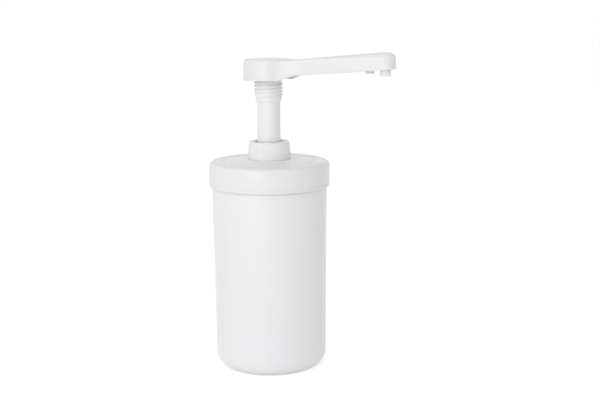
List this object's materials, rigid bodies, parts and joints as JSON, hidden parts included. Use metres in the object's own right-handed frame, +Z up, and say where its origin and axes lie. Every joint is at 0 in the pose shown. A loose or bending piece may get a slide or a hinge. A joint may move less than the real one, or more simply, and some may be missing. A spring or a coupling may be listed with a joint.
{
  "type": "detergent dispenser bottle",
  "caption": "Round wide-mouth jar with a screw lid and a screw-on lotion-type pump: ribbed collar, stem with a lock thread, round head and a long spout with a downward nozzle.",
  "frame": {"origin": "centre of the jar's base, on the plane the jar stands on", "axes": "+Z up along the jar's axis, +X along the spout, from the stem towards the nozzle"},
  "size_m": [0.1934, 0.1208, 0.3171],
  "materials": {
    "jar_plastic": "white blow-moulded plastic, satin, slightly cool",
    "lid_plastic": "white moulded plastic, satin",
    "pump_plastic": "white moulded plastic, satin",
    "barrel_plastic": "natural translucent white plastic",
    "liner_foam": "white foam",
    "seal_rubber": "grey elastomer",
    "steel": "bright stainless steel"
  },
  "bodies": {
    "jar": {"jar": "jar_plastic"},
    "liner": {"lid_liner": "liner_foam"},
    "lid": {"lid": "lid_plastic"},
    "pump": {"barrel": "barrel_plastic", "barrel_cap": "pump_plastic", "stem_guide": "barrel_plastic", "stem_wiper": "seal_rubber", "ball_cage": "barrel_plastic", "dip_tube": "barrel_plastic", "neck_gasket": "liner_foam", "spring": "steel"},
    "collar": {"collar": "pump_plastic"},
    "piston": {"piston": "barrel_plastic", "piston_ring": "seal_rubber"},
    "plunger": {"stem": "pump_plastic", "outlet_seat": "barrel_plastic", "outlet_cage": "barrel_plastic", "spout": "pump_plastic", "head_shell": "pump_plastic"},
    "inlet_ball": {"inlet_ball": "steel"},
    "outlet_ball": {"outlet_ball": "steel"}
  },
  "joints": [
    {"name": "lid_rise", "type": "slide", "parent": "jar", "child": "liner", "axis": [0, 0, 1], "range_m": [0, 0.0075]},
    {"name": "lid_turn", "type": "hinge", "parent": "liner", "child": "lid", "pos_m": [0, 0, 0.2], "axis": [0, 0, 1], "range_deg": [0, 450]},
    {"name": "pump_rise", "type": "slide", "parent": "lid", "child": "pump", "axis": [0, 0, 1], "range_m": [0, 0.00525]},
    {"name": "collar_turn", "type": "hinge", "parent": "pump", "child": "collar", "pos_m": [0, 0, 0.22], "axis": [0, 0, 1], "range_deg": [0, 450]},
    {"name": "press", "type": "slide", "parent": "pump", "child": "piston", "axis": [0, 0, -1], "range_m": [0, 0.04], "stiffness_N_per_m": 400, "springref_m": -0.02, "deforming": ["spring"]},
    {"name": "swivel", "type": "hinge", "parent": "piston", "child": "plunger", "pos_m": [0, 0, 0.2], "axis": [0, 0, 1], "continuous": true},
    {"name": "inlet_lift", "type": "slide", "parent": "pump", "child": "inlet_ball", "axis": [0, 0, 1], "range_m": [0, 0.003]},
    {"name": "outlet_lift", "type": "slide", "parent": "plunger", "child": "outlet_ball", "axis": [0, 0, 1], "range_m": [0, 0.003]}
  ],
  "couplings": [
    {"joint": "lid_turn", "follows": "lid_rise", "rad_per_m": 1047.2},
    {"joint": "collar_turn", "follows": "pump_rise", "rad_per_m": 1496}
  ]
}
